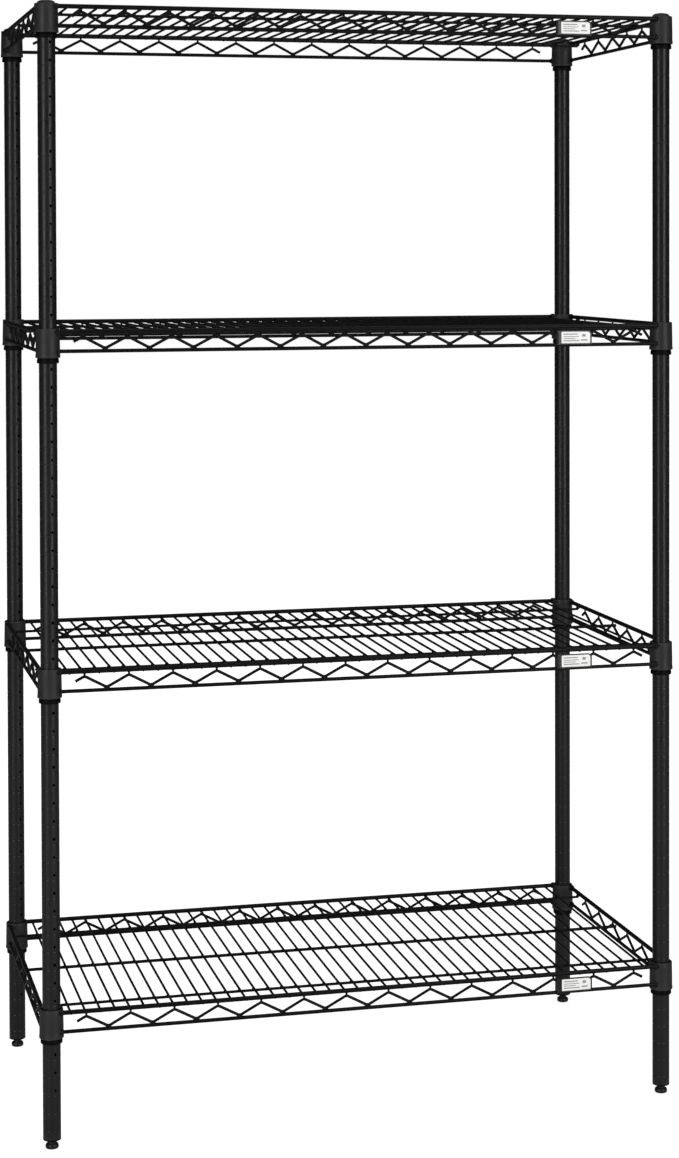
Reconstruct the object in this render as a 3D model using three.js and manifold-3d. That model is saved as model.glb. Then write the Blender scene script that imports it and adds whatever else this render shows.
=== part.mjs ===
// Four-tier wire shelving rack: four grooved tube posts on levelling feet, four welded wire
// shelves with corner collars, and the split taper sleeves that the collars wedge onto.
// Millimetres, +Z up, X along the width, -Y is the front, origin on the floor under the centre.
import * as THREE from "three";
import { mergeVertices } from "three/addons/utils/BufferGeometryUtils.js";
import Module from "manifold-3d";

// ---- overall ----
const POST_SPAN_X = 914.4; // 36 in between post centres
const POST_SPAN_Y = 457.2; // 18 in between post centres
const HX = POST_SPAN_X / 2;
const HY = POST_SPAN_Y / 2;
const ROUND = 16; // facets on posts, collars and sleeves

// ---- posts, 1 in tube ----
const POST_R = 12.7;
const POST_BORE_R = 11.5;
const POST_BOTTOM = 14.2;
const POST_TOP = 1612.4;

// ---- post cap ----
const CAP_DOME_H = 5.2;
const CAP_PLUG_R = 10.7;
const CAP_PLUG_H = 14;

// ---- threaded insert and levelling foot, 3/8 in bolt ----
const INSERT_R = 10.7;
const INSERT_BORE_R = 5.4;
const INSERT_H = 18;
const BOLT_R = 4.7;
const BOLT_TOP = 46;
const FOOT_R = 9.4;
const FOOT_H = 7.4;
const NECK_R = 6.3;

// ---- shelves: height of the rim wire's centre above the floor ----
const TIERS = [
  ["top", 1608],
  ["upper", 1153],
  ["lower", 675],
  ["bottom", 194],
];
const CORNERS = [
  ["fl", -1, -1],
  ["fr", 1, -1],
  ["bl", -1, 1],
  ["br", 1, 1],
];

// ---- shelf frame wires ----
const RIM_A = 3.75; // half diagonal of the square section that stands for the round wire
const LOWER_A = 3.2;
const BRACE_A = 2.75;
const TRUSS_H = 27.2; // rim centre to lower wire centre
const RIM_OUT_Y = 11.5; // front and back wires, outboard of the post centres
const RIM_OUT_X = 12; // side wires, outboard of the post centres
const BRACE_DROP = 6.3; // brace centre below the rim centre
const EDGE_BRACE_IN = 45.5; // front and back braces, inboard of the post centres

// ---- zigzag wire ----
const ZIG_T = 3.8;
const ZIG_FRONT = { crests: 14, pitch: 63, shift: 0 }; // front and back trusses
const ZIG_SIDE = { crests: 6, pitch: 66, shift: -17.6 }; // set a little towards the front
const ZIG_HANG = 13; // free half-leg past the last crest
const TIE_TOP = -1.6; // the short ties end inside the rim wire
const CREST_Z = -7.6; // crest centre line, relative to the rim centre
const TROUGH_Z = -21.7; // trough centre line

// ---- corner collar, a tapered ring ----
const COLLAR_R = 17.5;
const COLLAR_ABOVE = 4.5; // collar top above the rim centre
const COLLAR_H = 41.5;
const BORE_TOP_R = 14.4;
const BORE_BOTTOM_R = 15.7;

// ---- split sleeve ----
const SLEEVE_BORE_R = 13.05;
const SLEEVE_TOP_R = 13.75;
const SLEEVE_LIP_R = 15.5;
const SLEEVE_LIP_H = 6.5; // shows below the collar
const SLEEVE_H = 45;
const SPLIT_DEG = 4; // half the gap between the two halves

// ---- deck ----
const DECK_WIRES = 42;
const DECK_PITCH = 21;
const DECK_A = 1.8;
const DECK_DROP = 1.45; // deck wire centre below the rim centre
const DECK_HALF = ((DECK_WIRES - 1) / 2) * DECK_PITCH + DECK_A; // outer side of the last wire
const MIDDLE_DROP = 5.55; // middle brace centre, so that the deck wires sink into it by 0.45
const GAP = 0.3;

// ---- label plate ----
const LABEL_X = 315; // centre, right of the middle
const LABEL_W = 55;
const LABEL_T = 1.3;
const LABEL_TOP = -6; // relative to the rim centre
const LABEL_BOTTOM = -27; // in front of the lower wire

const wasm = await Module();
wasm.setup();

// Turns a three.js geometry into a manifold solid.
function solid(geometry) {
  const bare = new THREE.BufferGeometry();
  bare.setAttribute("position", geometry.getAttribute("position").clone());
  if (geometry.index) bare.setIndex(geometry.index.clone());
  const merged = mergeVertices(bare, 1e-4);
  return new wasm.Manifold(
    new wasm.Mesh({
      numProp: 3,
      vertProperties: new Float32Array(merged.getAttribute("position").array),
      triVerts: new Uint32Array(merged.index.array),
    })
  );
}

// Turns a manifold solid back into a three.js geometry.
function geometryOf(manifold) {
  const mesh = manifold.getMesh();
  const geometry = new THREE.BufferGeometry();
  const points = new Float32Array(mesh.numVert * 3);
  for (let i = 0; i < mesh.numVert; i += 1) {
    for (let k = 0; k < 3; k += 1) points[3 * i + k] = mesh.vertProperties[i * mesh.numProp + k];
  }
  geometry.setAttribute("position", new THREE.BufferAttribute(points, 3));
  geometry.setIndex(Array.from(mesh.triVerts));
  geometry.computeVertexNormals();
  return geometry;
}

// A straight wire with a square section turned on edge, along X or Y.
function wire(axis, from, to, across, z, a) {
  const s = a * Math.SQRT2;
  const geometry = new THREE.BoxGeometry(to - from, s, s);
  geometry.rotateX(Math.PI / 4);
  if (axis === "y") geometry.rotateZ(Math.PI / 2);
  const middle = (from + to) / 2;
  if (axis === "x") geometry.translate(middle, across, z);
  else geometry.translate(across, middle, z);
  return solid(geometry);
}

// A solid of revolution about Z. The profile is [radius, height] pairs, bottom to top, and
// both ends lie on the axis, or the profile closes on itself.
function turned(profile, facets) {
  const points = profile.map(([r, z]) => new THREE.Vector2(r, z));
  const geometry = new THREE.LatheGeometry(points, facets);
  geometry.rotateX(Math.PI / 2);
  return geometry;
}

// Outline of a zigzag wire in its own plane: u along the truss, v up. Each crest carries a
// short tie up to the rim, and the troughs are pressed flat.
function zigzag({ crests, pitch }) {
  const flat = 3.2;
  const half = 1.5;
  const slope = (CREST_Z - TROUGH_Z) / (pitch / 2 - flat);
  const lift = (ZIG_T / 2) * Math.sqrt(1 + slope * slope);
  const shoulder = CREST_Z + lift - slope * half;
  const low = CREST_Z - slope * ZIG_HANG;
  const first = (-(crests - 1) / 2) * pitch;
  const top = [[first - ZIG_HANG, low + lift]];
  const under = [[first - ZIG_HANG, low - lift]];
  for (let i = 0; i < crests; i += 1) {
    const u = first + i * pitch;
    top.push([u - half, shoulder], [u - half, TIE_TOP], [u + half, TIE_TOP], [u + half, shoulder]);
    under.push([u, CREST_Z - lift]);
    if (i < crests - 1) {
      const v = u + pitch / 2;
      top.push([v, TROUGH_Z + lift - slope * flat * 0.2]);
      under.push([v - flat, TROUGH_Z - ZIG_T / 2], [v + flat, TROUGH_Z - ZIG_T / 2]);
    }
  }
  top.push([-first + ZIG_HANG, low + lift]);
  under.push([-first + ZIG_HANG, low - lift]);
  return [...top, ...under.reverse()];
}

// The zigzag outline given its thickness, standing along X or Y at the given offset.
function zigzagWire(axis, truss, across, z) {
  const shape = new THREE.Shape(zigzag(truss).map(([u, v]) => new THREE.Vector2(u, v)));
  const geometry = new THREE.ExtrudeGeometry(shape, { depth: ZIG_T, bevelEnabled: false });
  geometry.translate(0, 0, -ZIG_T / 2);
  geometry.rotateX(Math.PI / 2);
  if (axis === "y") geometry.rotateZ(Math.PI / 2);
  if (axis === "x") geometry.translate(truss.shift, across, z);
  else geometry.translate(across, truss.shift, z);
  return solid(geometry);
}

// One shelf frame: rims, lower wires, zigzags, edge braces, the ends of the middle brace and
// the four corner collars.
function shelfFrame(z) {
  const bodies = [];
  const reach = 3;
  for (const side of [-1, 1]) {
    const y = side * (HY + RIM_OUT_Y);
    const x = side * (HX + RIM_OUT_X);
    bodies.push(wire("x", -HX + reach, HX - reach, y, z, RIM_A));
    bodies.push(wire("x", -HX + reach, HX - reach, y, z - TRUSS_H, LOWER_A));
    bodies.push(wire("y", -HY + reach, HY - reach, x, z, RIM_A));
    bodies.push(wire("y", -HY + reach, HY - reach, x, z - TRUSS_H, LOWER_A));
    bodies.push(zigzagWire("x", ZIG_FRONT, y, z));
    bodies.push(zigzagWire("y", ZIG_SIDE, x, z));
    bodies.push(
      wire("x", -HX - RIM_OUT_X, HX + RIM_OUT_X, side * (HY - EDGE_BRACE_IN), z - BRACE_DROP, BRACE_A)
    );
  }
  const rimX = HX + RIM_OUT_X;
  bodies.push(wire("x", -rimX, -DECK_HALF - GAP, 0, z - MIDDLE_DROP, BRACE_A));
  bodies.push(wire("x", DECK_HALF + GAP, rimX, 0, z - MIDDLE_DROP, BRACE_A));
  const top = z + COLLAR_ABOVE;
  const bottom = top - COLLAR_H;
  for (const [, sx, sy] of CORNERS) {
    const ring = turned([[0, bottom], [COLLAR_R, bottom], [COLLAR_R, top], [0, top]], ROUND);
    ring.translate(sx * HX, sy * HY, 0);
    bodies.push(solid(ring));
  }
  let frame = wasm.Manifold.union(bodies);
  const taper = (BORE_TOP_R - BORE_BOTTOM_R) / COLLAR_H;
  for (const [, sx, sy] of CORNERS) {
    const low = [BORE_BOTTOM_R - taper, bottom - 1];
    const high = [BORE_TOP_R + taper, top + 1];
    const bore = turned([[0, bottom - 1], low, high, [0, top + 1]], ROUND);
    bore.translate(sx * HX, sy * HY, 0);
    frame = frame.subtract(solid(bore));
  }
  return geometryOf(frame);
}

// The deck of one shelf: wires front to back, welded on a middle brace. The brace's two ends,
// past the last wires, are part of the frame.
function shelfDeck(z) {
  const end = HY + RIM_OUT_Y - RIM_A - GAP;
  const wireZ = z - DECK_DROP;
  const bodies = [wire("x", -DECK_HALF, DECK_HALF, 0, z - MIDDLE_DROP, BRACE_A)];
  for (let i = 0; i < DECK_WIRES; i += 1) {
    const x = (i - (DECK_WIRES - 1) / 2) * DECK_PITCH;
    bodies.push(wire("y", -end, end, x, wireZ, DECK_A));
  }
  return geometryOf(wasm.Manifold.union(bodies));
}

// Half of a taper sleeve. It covers the angles from one split line to the other.
function sleeveHalf(bottom, turn) {
  const profile = [
    [SLEEVE_BORE_R, 0],
    [SLEEVE_LIP_R, 0],
    [SLEEVE_TOP_R, SLEEVE_H],
    [SLEEVE_BORE_R, SLEEVE_H],
  ];
  const step = 360 / ROUND;
  const angles = [SPLIT_DEG];
  for (let a = step; a < 180; a += step) angles.push(a);
  angles.push(180 - SPLIT_DEG);
  const points = [];
  const faces = [];
  for (const a of angles) {
    const t = THREE.MathUtils.degToRad(a + turn);
    for (const [r, z] of profile) points.push(r * Math.cos(t), r * Math.sin(t), bottom + z);
  }
  const n = profile.length;
  for (let i = 0; i < angles.length - 1; i += 1) {
    for (let k = 0; k < n; k += 1) {
      const a = i * n + k;
      const b = i * n + ((k + 1) % n);
      faces.push(a, a + n, b + n, a, b + n, b);
    }
  }
  const last = (angles.length - 1) * n;
  faces.push(0, 1, 2, 0, 2, 3);
  faces.push(last, last + 2, last + 1, last, last + 3, last + 2);
  const geometry = new THREE.BufferGeometry();
  geometry.setAttribute("position", new THREE.BufferAttribute(new Float32Array(points), 3));
  geometry.setIndex(faces);
  geometry.computeVertexNormals();
  return geometry;
}

// Rounded plate for the label, standing in the XZ plane.
function labelPlate(z) {
  const h = (LABEL_TOP - LABEL_BOTTOM) / 2;
  const w = LABEL_W / 2;
  const r = 2.5;
  const outline = [
    [-w, -h],
    [w - r, -h],
    [w, -h + r],
    [w, h - r],
    [w - r, h],
    [-w, h],
  ];
  const shape = new THREE.Shape(outline.map(([u, v]) => new THREE.Vector2(u, v)));
  const geometry = new THREE.ExtrudeGeometry(shape, { depth: LABEL_T, bevelEnabled: false });
  geometry.rotateX(Math.PI / 2);
  const back = -(HY + RIM_OUT_Y + LOWER_A + GAP);
  geometry.translate(LABEL_X, back, z + (LABEL_TOP + LABEL_BOTTOM) / 2);
  return geometry;
}

const tube = turned(
  [
    [POST_BORE_R, POST_BOTTOM],
    [POST_R, POST_BOTTOM],
    [POST_R, POST_TOP],
    [POST_BORE_R, POST_TOP],
    [POST_BORE_R, POST_BOTTOM],
  ],
  ROUND
);
const capSeat = POST_TOP + 0.1;
const cap = turned(
  [
    [0, capSeat - CAP_PLUG_H],
    [CAP_PLUG_R, capSeat - CAP_PLUG_H],
    [CAP_PLUG_R, capSeat],
    [POST_R, capSeat],
    [POST_R * 0.94, capSeat + CAP_DOME_H * 0.45],
    [POST_R * 0.66, capSeat + CAP_DOME_H * 0.82],
    [0, capSeat + CAP_DOME_H],
  ],
  ROUND
);
const insert = turned(
  [
    [INSERT_BORE_R, POST_BOTTOM + 0.4],
    [INSERT_R, POST_BOTTOM + 0.4],
    [INSERT_R, POST_BOTTOM + 0.4 + INSERT_H],
    [INSERT_BORE_R, POST_BOTTOM + 0.4 + INSERT_H],
    [INSERT_BORE_R, POST_BOTTOM + 0.4],
  ],
  ROUND
);
const foot = turned(
  [
    [0, 0],
    [FOOT_R - 1.2, 0],
    [FOOT_R, 1.6],
    [FOOT_R, FOOT_H - 1.6],
    [NECK_R, FOOT_H],
    [NECK_R, POST_BOTTOM - 0.4],
    [BOLT_R, POST_BOTTOM - 0.4],
    [BOLT_R, BOLT_TOP],
    [0, BOLT_TOP],
  ],
  12
);

const group = new THREE.Group();

function add(name, geometry, color, metalness = 0) {
  const mat = new THREE.MeshStandardMaterial({ color, metalness, roughness: 0.5 });
  mat.name = name;
  const mesh = new THREE.Mesh(geometry, mat);
  mesh.name = name;
  group.add(mesh);
}

for (const [corner, sx, sy] of CORNERS) {
  const at = (geometry) => geometry.clone().translate(sx * HX, sy * HY, 0);
  add(`post_${corner}`, at(tube), 0x1b1b1c, 0.3);
  add(`cap_${corner}`, at(cap), 0x101011);
  add(`insert_${corner}`, at(insert), 0x2a2a2b);
  add(`foot_${corner}`, at(foot), 0x161617, 0.3);
}

for (const [tier, z] of TIERS) {
  add(`shelf_${tier}_frame`, shelfFrame(z), 0x1d1d1e, 0.3);
  add(`shelf_${tier}_deck`, shelfDeck(z), 0x1d1d1e, 0.3);
  add(`label_${tier}`, labelPlate(z), 0xe8e8e4);
  const bottom = z + COLLAR_ABOVE - COLLAR_H - SLEEVE_LIP_H;
  for (const [corner, sx, sy] of CORNERS) {
    for (const [half, turn] of [["rear", 0], ["front", 180]]) {
      const geometry = sleeveHalf(bottom, turn).translate(sx * HX, sy * HY, 0);
      add(`sleeve_${tier}_${corner}_${half}`, geometry, 0x0c0c0d);
    }
  }
}

export default group;
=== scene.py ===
# %% [markdown]
# # A four-tier wire shelving rack
# The rack is black epoxy-coated steel: four one inch tubes on levelling feet, four welded wire
# shelves, and the split plastic sleeves that the shelves' corner collars wedge onto. The packed
# model fixes where everything is, so the first cell loads it and keeps its box for later.

# %% Load the fixed frame
import math

import bmesh
import bpy
from mathutils import Matrix, Vector


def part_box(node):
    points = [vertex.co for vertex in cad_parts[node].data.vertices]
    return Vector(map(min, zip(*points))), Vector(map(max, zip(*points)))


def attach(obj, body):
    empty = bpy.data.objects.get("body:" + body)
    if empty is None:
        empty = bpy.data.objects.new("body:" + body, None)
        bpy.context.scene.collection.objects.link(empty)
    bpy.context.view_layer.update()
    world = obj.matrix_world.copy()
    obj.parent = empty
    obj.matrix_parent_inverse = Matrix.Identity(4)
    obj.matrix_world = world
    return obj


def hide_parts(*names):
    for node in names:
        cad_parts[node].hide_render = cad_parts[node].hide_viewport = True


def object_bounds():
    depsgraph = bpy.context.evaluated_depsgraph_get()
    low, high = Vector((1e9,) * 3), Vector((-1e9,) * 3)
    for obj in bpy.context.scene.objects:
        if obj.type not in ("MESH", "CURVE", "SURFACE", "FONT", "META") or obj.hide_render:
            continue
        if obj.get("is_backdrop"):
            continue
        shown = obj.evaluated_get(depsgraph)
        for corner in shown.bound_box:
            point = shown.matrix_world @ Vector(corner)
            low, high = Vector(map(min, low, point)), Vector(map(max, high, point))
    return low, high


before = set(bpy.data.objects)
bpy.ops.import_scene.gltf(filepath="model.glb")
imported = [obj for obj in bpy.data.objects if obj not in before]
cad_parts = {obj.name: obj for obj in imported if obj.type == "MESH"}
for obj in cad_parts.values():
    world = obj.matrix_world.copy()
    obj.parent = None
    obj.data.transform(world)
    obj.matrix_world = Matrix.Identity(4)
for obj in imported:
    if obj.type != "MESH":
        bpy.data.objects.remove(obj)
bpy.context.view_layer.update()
MM = 0.001

# %% [markdown]
# Every position comes from the frame. The posts' boxes give the four centres, and a shelf
# frame is highest at its collars, a little above the middle of its rim wire, so its box gives
# the height of the tier.
# All the numbers below are millimetres until a mesh is made.

# %% Places taken from the frame
CORNERS = ("fl", "fr", "bl", "br")
TIERS = ("top", "upper", "lower", "bottom")


def middle_of(node):
    """Centre of a node's box, in millimetres."""
    low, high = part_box(node)
    return (low + high) / 2 / MM


POST_AT = {corner: middle_of(f"post_{corner}") for corner in CORNERS}
HALF_X = POST_AT["fr"].x
HALF_Y = POST_AT["bl"].y
COLLAR_TOP = 4.5
RIM_Z = {tier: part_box(f"shelf_{tier}_frame")[1].z / MM - COLLAR_TOP for tier in TIERS}
POST_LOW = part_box("post_fl")[0].z / MM
POST_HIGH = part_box("post_fl")[1].z / MM
print("posts at +-", round(HALF_X, 1), round(HALF_Y, 1), "tiers", [round(z, 1) for z in RIM_Z.values()])

# %% [markdown]
# ## Camera
# The rack is seen from the front and a little from its left, from about 1.3 m up. A camera
# that is tilted down would make the posts lean in towards their feet. So the lens points only
# slightly down, and the frame is moved down with the lens shift, as on a view camera.

# %% Camera
IMAGE_W, IMAGE_H = 679, 1158
FOCAL_LENGTH = 2447.78  # in the same units as the image's size
CENTRE_X, CENTRE_Y = 360.14, 300.0  # where the lens axis meets the image, from its top left corner
STANDPOINT = (-0.8648, -3.6630, 1.2716)
yaw, pitch, roll = -0.24516, -0.0219, -0.00262
forward = Vector((-math.sin(yaw) * math.cos(pitch), math.cos(yaw) * math.cos(pitch), math.sin(pitch)))
level = Vector((math.cos(yaw), math.sin(yaw), 0))
upright = level.cross(forward)
right = level * math.cos(roll) + upright * math.sin(roll)
above = upright * math.cos(roll) - level * math.sin(roll)
camera_data = bpy.data.cameras.new("camera")
camera_data.sensor_width = 36
camera_data.lens = camera_data.sensor_width * FOCAL_LENGTH / IMAGE_H
camera_data.shift_x = (IMAGE_W / 2 - CENTRE_X) / IMAGE_H
camera_data.shift_y = (CENTRE_Y - IMAGE_H / 2) / IMAGE_H
camera_data.clip_end = 200
camera = bpy.data.objects.new("camera", camera_data)
turn = Matrix((right, above, -forward)).transposed().to_4x4()
camera.matrix_world = Matrix.Translation(STANDPOINT) @ turn
bpy.context.scene.collection.objects.link(camera)
bpy.context.scene.camera = camera
print("lens", round(camera_data.lens, 2), "mm, shift", round(camera_data.shift_x, 4),
      round(camera_data.shift_y, 4))

# %% [markdown]
# ## Helpers for node trees
# Shader and geometry trees are both built from the same two moves: place a node with its
# values, and join two sockets. Short functions for these keep the trees below readable, and a
# table of joins shows a whole tree's wiring at once.

# %% Node helpers
def place(tree, kind, x=0, y=0, values=None, **settings):
    """Adds a node to a tree, with its settings and the values of its unlinked inputs."""
    node = tree.nodes.new(kind)
    node.location = (x, y)
    for key, value in settings.items():
        setattr(node, key, value)
    for key, value in (values or {}).items():
        node.inputs[key].default_value = value
    return node


def link(tree, start, end):
    """Joins an output socket to an input socket."""
    tree.links.new(start, end)


def chain(tree, *rows):
    """Joins many sockets: each row is (node, output, node, input), by name or number."""
    for source, output, target, entry in rows:
        tree.links.new(source.outputs[output], target.inputs[entry])


def new_group(name, kind, inputs, outputs):
    """Makes an empty node group. Inputs and outputs are (name, socket type, default) rows."""
    tree = bpy.data.node_groups.new(name, kind)
    for label, socket, default in inputs:
        made = tree.interface.new_socket(label, in_out="INPUT", socket_type=socket)
        if default is not None:
            made.default_value = default
    for label, socket in outputs:
        tree.interface.new_socket(label, in_out="OUTPUT", socket_type=socket)
    start = place(tree, "NodeGroupInput", -900)
    end = place(tree, "NodeGroupOutput", 900)
    return tree, start, end


# %% [markdown]
# ## Finishes
# The steel is coated with black epoxy powder. Close up, such a coat isn't one flat black: it
# has a fine orange peel, slow patches where it baked a little thicker, and pale specks of
# dust. These three things are needed on the posts, the wires and the collars alike, so they
# are one node group with its own sizes, and each material sets its own numbers.

# %% Node group: powder coat
FLOAT, COLOUR, VECTOR = "NodeSocketFloat", "NodeSocketColor", "NodeSocketVector"
powder_coat, start, end = new_group(
    "powder_coat", "ShaderNodeTree",
    [("Vector", VECTOR, None),
     ("Dark", COLOUR, (0.01, 0.01, 0.01, 1)), ("Light", COLOUR, (0.03, 0.03, 0.03, 1)),
     ("Patch Scale", FLOAT, 18.0), ("Peel Scale", FLOAT, 900.0), ("Speck Amount", FLOAT, 0.1),
     ("Rough Low", FLOAT, 0.32), ("Rough High", FLOAT, 0.46)],
    [("Color", COLOUR), ("Roughness", FLOAT), ("Height", FLOAT)])
patch = place(powder_coat, "ShaderNodeTexNoise", -650, 200, {"Detail": 4.0, "Roughness": 0.6})
peel = place(powder_coat, "ShaderNodeTexNoise", -650, -100, {"Detail": 2.0, "Roughness": 0.5})
speck = place(powder_coat, "ShaderNodeTexVoronoi", -650, -400, {"Scale": 420.0, "Randomness": 1.0})
dot = place(powder_coat, "ShaderNodeMapRange", -450, -400,
            {"From Min": 0.16, "From Max": 0.06, "To Min": 0.0, "To Max": 1.0})
few = place(powder_coat, "ShaderNodeMapRange", -450, -620,
            {"From Min": 0.58, "From Max": 0.7, "To Min": 0.0, "To Max": 1.0})
both = place(powder_coat, "ShaderNodeMath", -250, -450, operation="MULTIPLY")
dusty = place(powder_coat, "ShaderNodeMath", -80, -450, operation="MULTIPLY")
blend = place(powder_coat, "ShaderNodeMix", -250, 250, data_type="RGBA")
lift = place(powder_coat, "ShaderNodeMix", 200, 200, {7: (0.11, 0.108, 0.1, 1)}, data_type="RGBA")
rough = place(powder_coat, "ShaderNodeMapRange", 200, -100, {"From Min": 0.3, "From Max": 0.7})
for texture in (patch, peel, speck):
    link(powder_coat, start.outputs["Vector"], texture.inputs["Vector"])
chain(powder_coat,
      (start, "Patch Scale", patch, "Scale"), (start, "Peel Scale", peel, "Scale"),
      (patch, "Fac", blend, 0), (start, "Dark", blend, 6), (start, "Light", blend, 7),
      (speck, "Distance", dot, "Value"), (patch, "Fac", few, "Value"), (dot, "Result", both, 0),
      (few, "Result", both, 1), (both, 0, dusty, 0), (start, "Speck Amount", dusty, 1), (dusty, 0, lift, 0),
      (blend, 2, lift, 6), (patch, "Fac", rough, "Value"), (start, "Rough Low", rough, "To Min"),
      (start, "Rough High", rough, "To Max"), (lift, 2, end, "Color"), (rough, "Result", end, "Roughness"),
      (peel, "Fac", end, "Height"))
print("powder_coat has", len(powder_coat.nodes), "nodes")

# %% [markdown]
# A coat wears first where parts rub: the collars' rims, the caps' edges and the grooves. The
# meshes below carry a "wear" number at each vertex, high on such edges, and this group breaks
# it up with noise so that the worn line is uneven. Dust settles on what faces up, so a second
# group lightens the surface by how much its normal points to the ceiling.

# %% Node groups: edge wear and settled dust
edge_wear, start, end = new_group(
    "edge_wear", "ShaderNodeTree",
    [("Vector", VECTOR, None), ("Color", COLOUR, (0, 0, 0, 1)), ("Worn", COLOUR, (0.12, 0.12, 0.12, 1)),
     ("Wear", FLOAT, 0.0), ("Amount", FLOAT, 0.5), ("Scale", FLOAT, 260.0)],
    [("Color", COLOUR), ("Mask", FLOAT)])
chips = place(edge_wear, "ShaderNodeTexNoise", -650, 0, {"Detail": 5.0, "Roughness": 0.65})
uneven = place(edge_wear, "ShaderNodeMapRange", -400, 0, {"From Min": 0.42, "From Max": 0.62})
worn = place(edge_wear, "ShaderNodeMath", -150, 0, operation="MULTIPLY")
share = place(edge_wear, "ShaderNodeMath", 50, 0, operation="MULTIPLY", use_clamp=True)
mixed = place(edge_wear, "ShaderNodeMix", 300, 100, data_type="RGBA")
chain(edge_wear,
      (start, "Vector", chips, "Vector"), (start, "Scale", chips, "Scale"), (chips, "Fac", uneven, "Value"),
      (uneven, "Result", worn, 0), (start, "Wear", worn, 1), (worn, 0, share, 0),
      (start, "Amount", share, 1), (share, 0, mixed, 0), (start, "Color", mixed, 6),
      (start, "Worn", mixed, 7), (mixed, 2, end, "Color"), (share, 0, end, "Mask"))

settled_dust, start, end = new_group(
    "settled_dust", "ShaderNodeTree",
    [("Vector", VECTOR, None), ("Normal", VECTOR, None), ("Color", COLOUR, (0, 0, 0, 1)),
     ("Roughness", FLOAT, 0.4), ("Amount", FLOAT, 0.3)],
    [("Color", COLOUR), ("Roughness", FLOAT)])
split = place(settled_dust, "ShaderNodeSeparateXYZ", -650, 200)
upward = place(settled_dust, "ShaderNodeMapRange", -450, 200, {"From Min": 0.35, "From Max": 1.0})
cloud = place(settled_dust, "ShaderNodeTexNoise", -650, -100,
              {"Scale": 60.0, "Detail": 6.0, "Roughness": 0.7})
patchy = place(settled_dust, "ShaderNodeMapRange", -450, -100, {"From Min": 0.35, "From Max": 0.7})
film = place(settled_dust, "ShaderNodeMath", -200, 100, operation="MULTIPLY")
amount = place(settled_dust, "ShaderNodeMath", 0, 100, operation="MULTIPLY", use_clamp=True)
greyed = place(settled_dust, "ShaderNodeMix", 300, 200, {7: (0.16, 0.155, 0.145, 1)}, data_type="RGBA")
duller = place(settled_dust, "ShaderNodeMix", 300, -100, {3: 0.75}, data_type="FLOAT")
chain(settled_dust,
      (start, "Normal", split, 0), (split, "Z", upward, "Value"), (start, "Vector", cloud, "Vector"),
      (cloud, "Fac", patchy, "Value"), (upward, "Result", film, 0), (patchy, "Result", film, 1),
      (film, 0, amount, 0), (start, "Amount", amount, 1), (amount, 0, greyed, 0),
      (start, "Color", greyed, 6), (amount, 0, duller, 0), (start, "Roughness", duller, 2),
      (greyed, 2, end, "Color"), (duller, 0, end, "Roughness"))
print("edge_wear and settled_dust ready")

# %% [markdown]
# A finish is then the three groups in a row in front of one shader: the coat gives colour,
# roughness and height, wear lightens the rubbed edges, and dust greys what faces up. Only the
# numbers differ from the posts to the wires or the plastic, so one function builds them all.

# %% Finish builder
def finish(name, dark, light, low, high, patch_scale=18.0, peel_scale=900.0, bump=0.25, depth=0.0002,
           specks=0.25, worn=(0.12, 0.12, 0.12), wear=0.5, dust=0.3, specular=0.5, coat=0.0, metallic=0.0):
    """A procedural material: coat, worn edges and dust in front of one Principled shader."""
    material = bpy.data.materials.new(name)
    material.use_nodes = True
    tree = material.node_tree
    tree.nodes.clear()
    spot = place(tree, "ShaderNodeTexCoord", -1200)
    rubbed = place(tree, "ShaderNodeAttribute", -1200, -300, attribute_name="wear")
    facing = place(tree, "ShaderNodeNewGeometry", -1200, -500)
    coat_group = place(tree, "ShaderNodeGroup", -900, 100, node_tree=powder_coat)
    wear_group = place(tree, "ShaderNodeGroup", -600, 100, node_tree=edge_wear)
    dust_group = place(tree, "ShaderNodeGroup", -300, 100, node_tree=settled_dust)
    for key, value in {"Dark": (*dark, 1), "Light": (*light, 1), "Patch Scale": patch_scale,
                       "Peel Scale": peel_scale, "Speck Amount": specks,
                       "Rough Low": low, "Rough High": high}.items():
        coat_group.inputs[key].default_value = value
    wear_group.inputs["Worn"].default_value = (*worn, 1)
    wear_group.inputs["Amount"].default_value = wear
    dust_group.inputs["Amount"].default_value = dust
    relief = place(tree, "ShaderNodeBump", -300, -300, {"Strength": bump, "Distance": depth})
    shader = place(tree, "ShaderNodeBsdfPrincipled", 0, 100,
                   {"Specular IOR Level": specular, "Coat Weight": coat, "Coat Roughness": 0.25,
                    "Metallic": metallic})
    output = place(tree, "ShaderNodeOutputMaterial", 300, 100)
    for group in (coat_group, wear_group, dust_group):
        link(tree, spot.outputs["Object"], group.inputs["Vector"])
    chain(tree,
          (coat_group, "Color", wear_group, "Color"), (rubbed, "Fac", wear_group, "Wear"),
          (wear_group, "Color", dust_group, "Color"), (coat_group, "Roughness", dust_group, "Roughness"),
          (facing, "Normal", dust_group, "Normal"), (coat_group, "Height", relief, "Height"),
          (dust_group, "Color", shader, "Base Color"), (dust_group, "Roughness", shader, "Roughness"),
          (relief, "Normal", shader, "Normal"), (shader, 0, output, 0))
    return material


# %% [markdown]
# The numbers follow what each piece shows. The tubes are glossy, with two soft upright
# highlights. The wires are blacker, and the collars are duller and greyer, with a coarser skin.
# The caps and sleeves are moulded plastic, and the sleeves are the darkest of all.

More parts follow.
